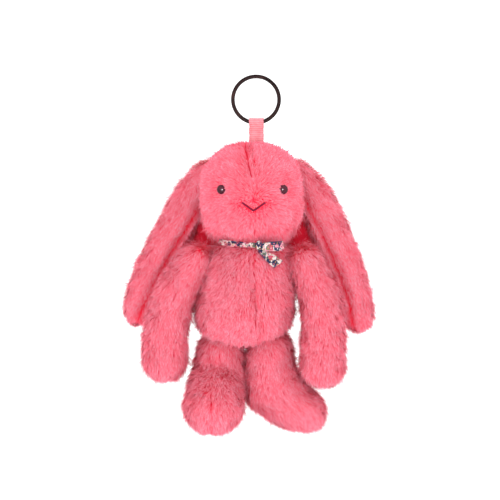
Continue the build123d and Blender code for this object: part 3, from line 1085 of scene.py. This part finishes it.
def print_material():
    """Small scattered flowers on cream cotton, in navy, red, pink, green and ochre."""
    mat, tree, main = shader("printed_cotton", 0.75, Sheen_Weight=0.15, Specular_IOR_Level=0.25)
    place = tree.nodes.new("ShaderNodeTexCoord")
    warp = texture(tree, "ShaderNodeTexNoise", Scale=900.0, Detail=2.0)
    shift = node(tree, "ShaderNodeVectorMath", operation="MULTIPLY_ADD")
    tree.links.new(warp.outputs["Color"], shift.inputs[0])
    shift.inputs[1].default_value = (0.0011,) * 3
    tree.links.new(place.outputs["Object"], shift.inputs[2])
    colour = (0.52, 0.42, 0.40)
    # scale, reach of a spot from its centre, inks
    palettes = (
        (430.0, 0.66, [(0.0, (0.012, 0.014, 0.050)), (0.32, (0.42, 0.05, 0.09)),
                       (0.44, (0.66, 0.58, 0.54)), (0.58, (0.030, 0.030, 0.070)),
                       (0.74, (0.58, 0.20, 0.26)), (0.90, (0.09, 0.12, 0.08))]),
        (1050.0, 0.36, [(0.0, (0.02, 0.02, 0.05)), (0.48, (0.66, 0.60, 0.56)),
                        (0.62, (0.40, 0.19, 0.05)), (0.76, (0.50, 0.10, 0.15))]),
    )
    for scale, reach, palette in palettes:
        cells = node(tree, "ShaderNodeTexVoronoi", Scale=scale, Randomness=0.9)
        tree.links.new(shift.outputs[0], cells.inputs["Vector"])
        inks = ramp(tree, parts(tree, cells.outputs["Color"])[0], palette, "CONSTANT")
        mask = maths(tree, "LESS_THAN", cells.outputs["Distance"], reach)
        colour = mixed(tree, mask, colour, inks)
    tree.links.new(colour, main.inputs["Base Color"])
    weave = texture(tree, "ShaderNodeTexWave", wave_type="BANDS", bands_direction="DIAGONAL",
                    Scale=1500.0, Distortion=0.4)
    bump(tree, main, weave.outputs["Fac"], 0.35, 0.00005)
    return mat


def neck_band():
    """Ribbon once round the neck, lower at the front and a little uneven."""
    lean = math.radians(8.0)
    up = np.array([0, -math.sin(lean), math.cos(lean)])
    ahead = np.array([0, math.cos(lean), math.sin(lean)])
    count = 240
    a = np.linspace(0, 2 * math.pi, count, endpoint=False)
    reach = 1 + 0.012 * np.sin(7 * a + 1) + 0.008 * np.sin(13 * a)
    centres = (np.array([HEAD_X, 0, -71.0]) + np.outer(17.0 * reach * np.cos(a), [1, 0, -0.07])
               + np.outer(14.9 * reach * np.sin(a), ahead) + np.outer(0.25 * np.sin(3 * a), up))
    ways = unit(np.roll(centres, -1, 0) - np.roll(centres, 1, 0))
    normals = unit(np.cross(ways, up))
    halves = 1.35 + 0.12 * np.sin(5 * a)

    def crease(t, s):
        return 0.28 * math.sin(2.6 * s + 3 * math.sin(9 * t)) + 0.12 * math.sin(60 * t + 2 * s)

    return strip("neck_ribbon_band", centres, ways, normals, halves, 0.32, closed=True, crease=crease)


KNOT = np.array([1.5, -16.6, -72.9])


def bow_loop():
    """Ribbon loop to the right: out along the front ply, round the end and back."""
    reach = 11.5
    route = [(0.4, -0.3), (3.0, -1.25), (6.4, -1.6), (9.6, -1.45), (reach, -0.5), (11.6, 0.35),
             (9.8, 0.9), (6.0, 0.45), (2.8, 0.2), (0.4, 0.15)]
    route = [(KNOT[0] + x, KNOT[1] - 0.5 + y, KNOT[2] - 0.7 + 0.03 * x) for x, y in route]
    line, way, _ = smooth_route(route, 150)
    normal = unit(np.cross(way, UP))
    t = np.clip((line[:, 0] - KNOT[0]) / reach, 0, 1)
    halves = 1.15 + 1.25 * between(t, 0, 0.45) ** 0.7

    def crease(share, s):
        return 0.5 * math.sin(2.9 * s + 4 * share) * (1 - 0.4 * share) - 0.25 * math.cos(4.5 * s)

    return strip("bow_loop_ribbon", line, way, normal, halves, 0.3, crease=crease)


def bow_tail():
    """Cut ribbon end hanging down to the right, gathered at the knot."""
    length, way0 = 12.2, np.array([0.785, 0, -0.62])
    start = KNOT + np.array([0.0, 0.5, -1.9])
    share = np.linspace(0, 1, 80)
    drop = start + np.outer(length * share, way0) + np.outer(-0.9 * np.sin(2.6 * share), [0, 1, 0])
    way = heading(drop)
    right = np.cross(FRONT, way0)
    normal = unit(np.cross(way, right))
    normal *= np.sign(normal @ FRONT)[:, None]
    halves = 1.2 + 1.45 * between(share, 0, 0.7) ** 0.8

    def crease(t, s):
        return 0.35 * math.cos(2.8 * s + 0.6) * (1 - 0.55 * t) + 0.15 * math.sin(7 * t)

    obj = strip("bow_tail_ribbon", drop, way, normal, halves, 0.3, crease=crease)
    # the end is cut on a slant
    p = positions(obj) / MM
    t = np.clip(((p - start) @ way0) / length, 0, 1)
    side = (p - start) @ right
    return moved_to(obj, p + (t ** 6 * 0.28 * side)[:, None] * way0)


def squash(v, power):
    return math.copysign(abs(v) ** power, v)


def bow_knot():
    """Tight wrap of ribbon with pleats running round it."""
    half_x, half_y, half_z = 1.5, 1.7, 2.35
    rows, across, points = 26, 48, []
    for i in range(rows):
        b = math.pi * ((i + 0.5) / rows - 0.5)
        for a in circle(across):
            pleat = 1 + 0.07 * math.sin(4 * b + 1.2 * math.sin(a)) + 0.05 * math.sin(9 * b + a)
            points.append(KNOT + np.array([
                half_x * squash(math.cos(b), 0.7) * squash(math.cos(a), 0.8) * pleat,
                half_y * squash(math.cos(b), 0.7) * squash(math.sin(a), 0.8) * pleat,
                half_z * squash(math.sin(b), 0.85)]))
    points += [KNOT - UP * half_z, KNOT + UP * half_z]
    return closed_solid("bow_knot_wrap", points, tube_faces(rows, across))


def lathe(name, profile, place, axis):
    """Turned piece; profile is (radius, height) pairs, height along axis from place."""
    around = 56
    axis = unit(np.asarray(axis, float))
    right = unit(np.cross(axis, UP))
    up = np.cross(right, axis)
    points = []
    for radius, height in profile:
        points += [place + axis * height + (right * math.cos(a) + up * math.sin(a)) * radius
                   for a in circle(around)]
    points += [place + axis * profile[0][1], place + axis * profile[-1][1]]
    return closed_solid(name, points, tube_faces(len(profile), around))


def eye_bead(name, place, way):
    """Domed safety eye with a small flange, on its shank."""
    dome_line = [(EYE_R * math.cos(math.radians(a)), 0.35 + EYE_R * 0.86 * math.sin(math.radians(a)))
                 for a in np.linspace(0, 89, 24)]
    profile = [(0.8, -6.0), (0.8, -2.0), (0.8, -0.7), (2.1, -0.65), (EYE_R - 0.05, -0.5),
               (EYE_R + 0.05, -0.15), (EYE_R + 0.02, 0.2)] + dome_line
    return lathe(name, profile, place - way * 0.8, way)


def eye_material():
    mat, tree, main, cloud = speckled(
        "eye_gloss", 0.15, 350.0, 3.0, [(0.3, (0.012, 0.002, 0.004)), (0.7, (0.035, 0.005, 0.010))],
        Specular_IOR_Level=0.2)
    drift_roughness(tree, main, cloud, (0.3, 0.08), (0.8, 0.2))
    return mat


def nose_thread():
    """Two stitches in a V, each of two twisted strands whose ends go into the face."""
    count, around = 90, 10
    twist, strand_r, turns = 0.23, 0.27, 6
    points, faces = [], []
    for (x0, z0), (x1, z1) in zip(NOSE[:-1], NOSE[1:]):
        t = np.linspace(0, 1, count)
        x, z = x0 + (x1 - x0) * t, z0 + (z1 - z0) * t
        rise = 0.75 * np.minimum(1, np.sin(math.pi * t) * 5) - 0.7 * (np.abs(2 * t - 1) > 0.93)
        line = np.array([(a, face_y(a, b) - h, b) for a, b, h in zip(x, z, rise)])
        way = heading(line)
        right = unit(np.cross(way, FRONT))
        up = np.cross(right, way)
        for strand in (0, math.pi):
            phase = strand + 2 * math.pi * t * turns
            core = line + twist * (right * np.cos(phase)[:, None] + up * np.sin(phase)[:, None])
            base = len(points)
            for c, r, u in zip(core, right, up):
                points += [c + strand_r * (r * math.cos(a) + u * math.sin(a)) for a in circle(around)]
            points += [core[0], core[-1]]
            faces += [tuple(base + k for k in f) for f in tube_faces(count, around)]
    return closed_solid("nose_stitches", points, faces)


finished(ring_wire(), ring_metal(), "ring", "ring_metal", "split_ring")
tab = finished(ribbon_tab(), tab_material(), None, "tab_ribbon", "ribbon_tab", "tab_root")
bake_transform(tab)

cotton = print_material()
for make, node_name in ((neck_band, "neck_ribbon"), (bow_knot, "bow_knot"), (bow_loop, "bow_loop"),
                        (bow_tail, "bow_tail")):
    finished(make(), cotton, "neck_band", "print_ribbon", node_name)

gloss = eye_material()
beads = bpy.data.collections.new("eye_beads")
for (spot, way), side in zip(EYES, SIDES):
    bead = eye_bead(f"eye_{side}_bead", spot, way)
    beads.objects.link(finished(bead, gloss, "head", "eye_plastic", f"eye_{side}"))

floss = speckled("nose_floss", 0.7, 2500.0, 2.0,
                 [(0.35, (0.13, 0.007, 0.028)), (0.65, (0.22, 0.016, 0.055))],
                 Specular_IOR_Level=0.15)[0]
finished(nose_thread(), floss, "head", "nose_thread", "nose_stitch")

moulding = speckled("washer_moulded", 0.45, 400.0, 3.0,
                    [(0.3, (0.50, 0.50, 0.48)), (0.7, (0.62, 0.62, 0.60))])[0]
for side in SIDES:
    for material_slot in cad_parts[f"eye_washer_{side}"].material_slots:
        material_slot.material = moulding

# ---- stage, light, camera ----
SENSOR, AWAY, SHOWN = 36, 1.2, 0.25  # sensor in mm, camera's distance and width it shows in metres

camera = bpy.data.cameras.new("camera")
camera.sensor_width = SENSOR
camera.lens = SENSOR * AWAY / SHOWN
scene.camera = new_object("camera", camera)
scene.camera.location = (-0.003, -AWAY, -0.0752)
scene.camera.rotation_euler = (math.pi / 2, 0, 0)

world = bpy.data.worlds.new("studio")
world.use_nodes = True
sky = world.node_tree.nodes["Background"]
sky.inputs["Color"].default_value = (1, 1, 1, 1)
sky.inputs["Strength"].default_value = 1.44
scene.world = world
scene.view_settings.view_transform = "Standard"


def softbox(name, place, target, size, power):
    lamp = bpy.data.lights.new(name, "AREA")
    lamp.shape = "RECTANGLE"
    lamp.size, lamp.size_y = size
    lamp.energy = power
    obj = new_object(name, lamp)
    obj.location = place
    obj.rotation_euler = (Vector(target) - Vector(place)).to_track_quat("-Z", "Y").to_euler()
    return obj


# place, what it faces, size in metres, watts
softbox("key", (-0.35, -0.80, 0.25), (0, 0, -0.09), (0.5, 0.5), 0.5)
softbox("fill", (0.6, -0.6, -0.1), (0, 0, -0.10), (0.5, 0.6), 0.4)
softbox("front", (0.0, -1.45, -0.02), (0, 0, -0.12), (0.3, 0.3), 3.1)
softbox("low", (-0.1, -0.85, -0.27), (0, 0, -0.13), (0.5, 0.1), 0.9)
# soft catchlight, which falls on the eyes only
catchlight = softbox("catchlight", (0.0, -1.3, -0.16), (0, 0, -0.046), (0.6, 0.6), 75.0)
catchlight.light_linking.receiver_collection = beads

FLOOR_HALF, FLOOR_Z = 4000, -340
corners = ((-1, -1), (1, -1), (1, 1), (-1, 1))
floor = solid("floor", [(x * FLOOR_HALF, y * FLOOR_HALF, FLOOR_Z) for x, y in corners], [(0, 1, 2, 3)])
plain, _, _ = shader("floor_white", 0.9, Base_Color=(0.95, 0.95, 0.95, 1))
floor.data.materials.append(plain)
